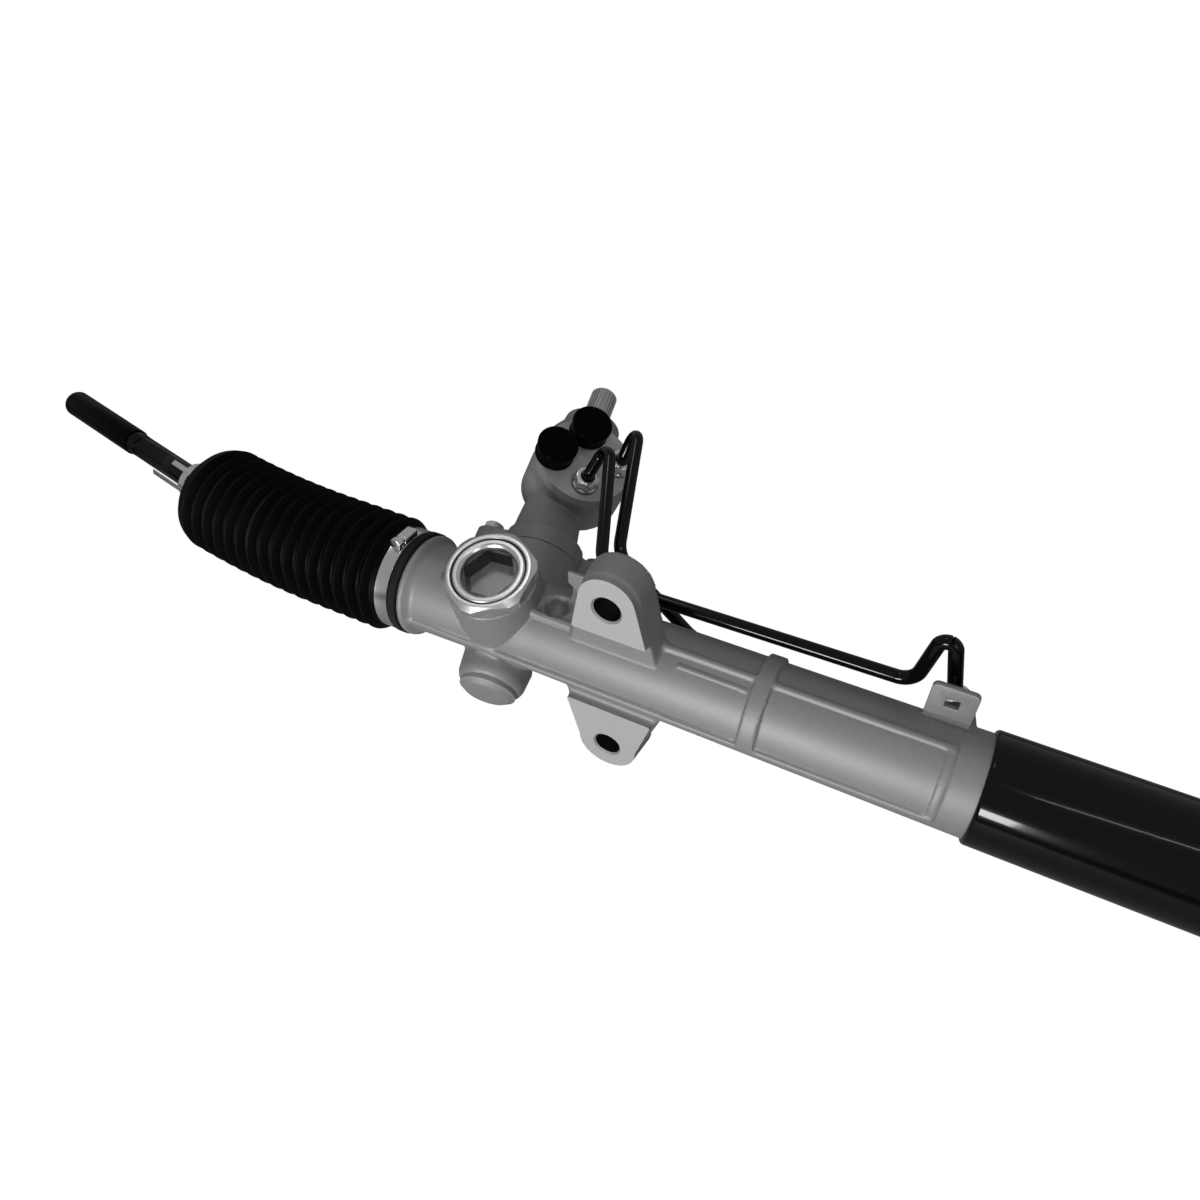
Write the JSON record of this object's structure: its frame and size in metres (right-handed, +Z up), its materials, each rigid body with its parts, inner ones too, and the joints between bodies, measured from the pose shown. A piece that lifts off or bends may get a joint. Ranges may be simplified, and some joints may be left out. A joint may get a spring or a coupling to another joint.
{
  "type": "hydraulic power steering rack",
  "caption": "Hydraulic rack and pinion steering gear with cast housing, rotary valve, cylinder tube, pipes, bellows and tie rods with capped ends.",
  "frame": {"origin": "middle of the two lug bolt holes, on the machined faces of the gear housing lugs", "axes": "+X along the rack towards the cylinder tube, +Y back through the lugs away from the mounting face, +Z up from the lower lug to the upper lug"},
  "size_m": [1.079, 0.1974, 0.1296],
  "materials": {
    "cast_aluminium": "satin",
    "black_tube": "gloss",
    "black_pipe": "gloss",
    "bright_nut": "bright turned",
    "ground_steel": "ground",
    "zinc_steel": "bright zinc",
    "band_steel": "bright",
    "black_rod": "gloss",
    "bellows_rubber": "satin",
    "black_plastic": "satin",
    "mount_rubber": "matte",
    "seal_rubber": "matte",
    "gasket_black": "matte",
    "bearing_plastic": "satin",
    "saddle_steel": "satin"
  },
  "bodies": {
    "housing": {"adjuster_plug": "bright_nut", "boot_clamp_left": "band_steel", "boot_clamp_right": "band_steel", "boot_left": "bellows_rubber", "boot_right": "bellows_rubber", "cylinder_tube": "black_tube", "end_bulkhead": "cast_aluminium", "flare_nuts": "zinc_steel", "gear_housing": "cast_aluminium", "housing_gasket": "gasket_black", "inner_rack_seal": "seal_rubber", "input_shaft_seal": "seal_rubber", "long_pipe": "black_pipe", "mount_bush": "mount_rubber", "mount_saddle": "saddle_steel", "outer_rack_seal": "seal_rubber", "pinion_cap": "cast_aluminium", "pinion_lower_bearing": "bearing_plastic", "pinion_seal": "seal_rubber", "pinion_upper_bearing": "ground_steel", "port_caps": "black_plastic", "rack_bush": "bearing_plastic", "seal_retainer": "bearing_plastic", "short_pipe": "black_pipe", "valve_housing": "cast_aluminium", "valve_housing_bolts": "zinc_steel", "valve_top_bearing": "ground_steel", "yoke": "cast_aluminium", "yoke_lock_nut": "bright_nut", "yoke_oring": "seal_rubber", "yoke_pad": "bearing_plastic", "yoke_spring": "ground_steel"},
    "pinion": {"pinion": "ground_steel", "sleeve_rings": "bearing_plastic", "torsion_bar": "ground_steel", "valve_sleeve": "ground_steel"},
    "input_shaft": {"input_shaft": "ground_steel"},
    "rack": {"inner_ball_housing_left": "ground_steel", "inner_ball_housing_right": "ground_steel", "piston": "ground_steel", "piston_ring": "bearing_plastic", "rack_bar": "ground_steel"},
    "ball_seat_left": {"ball_seat_left": "bearing_plastic"},
    "tie_rod_left": {"rod_cap_left": "black_plastic", "spring_clamp_left": "band_steel", "tie_rod_left": "black_rod"},
    "ball_seat_right": {"ball_seat_right": "bearing_plastic"},
    "tie_rod_right": {"rod_cap_right": "black_plastic", "spring_clamp_right": "band_steel", "tie_rod_right": "black_rod"}
  },
  "joints": [
    {"name": "pinion_turn", "type": "hinge", "parent": "housing", "child": "pinion", "pos_m": [-0.066, 0.02312, -0.01558], "axis": [-0.1478, 0.9483, 0.2809], "range_deg": [-553.96, 553.96]},
    {"name": "valve_twist", "type": "hinge", "parent": "pinion", "child": "input_shaft", "pos_m": [-0.066, 0.02312, -0.01558], "axis": [-0.1478, 0.9483, 0.2809], "range_deg": [-4, 4], "stiffness_Nm_per_rad": 86},
    {"name": "rack_slide", "type": "slide", "parent": "housing", "child": "rack", "axis": [1, 0, 0], "range_m": [-0.0742, 0.0742], "deforming": ["boot_left", "boot_right"]},
    {"name": "left_rod_lift", "type": "hinge", "parent": "rack", "child": "ball_seat_left", "pos_m": [-0.227, 0.0185, 0], "axis": [0, 0.4939, -0.8695], "range_deg": [-36, 16]},
    {"name": "left_rod_swing", "type": "hinge", "parent": "ball_seat_left", "child": "tie_rod_left", "pos_m": [-0.227, 0.0185, 0], "axis": [-0.1874, -0.8541, -0.4852], "range_deg": [-18, 18]},
    {"name": "right_rod_lift", "type": "hinge", "parent": "rack", "child": "ball_seat_right", "pos_m": [0.513, 0.0185, 0], "axis": [0, -0.4939, 0.8695], "range_deg": [-36, 16]},
    {"name": "right_rod_swing", "type": "hinge", "parent": "ball_seat_right", "child": "tie_rod_right", "pos_m": [0.513, 0.0185, 0], "axis": [0.1874, -0.8541, -0.4852], "range_deg": [-18, 18]}
  ],
  "couplings": [
    {"joint": "pinion_turn", "follows": "rack_slide", "rad_per_m": 130.13}
  ]
}
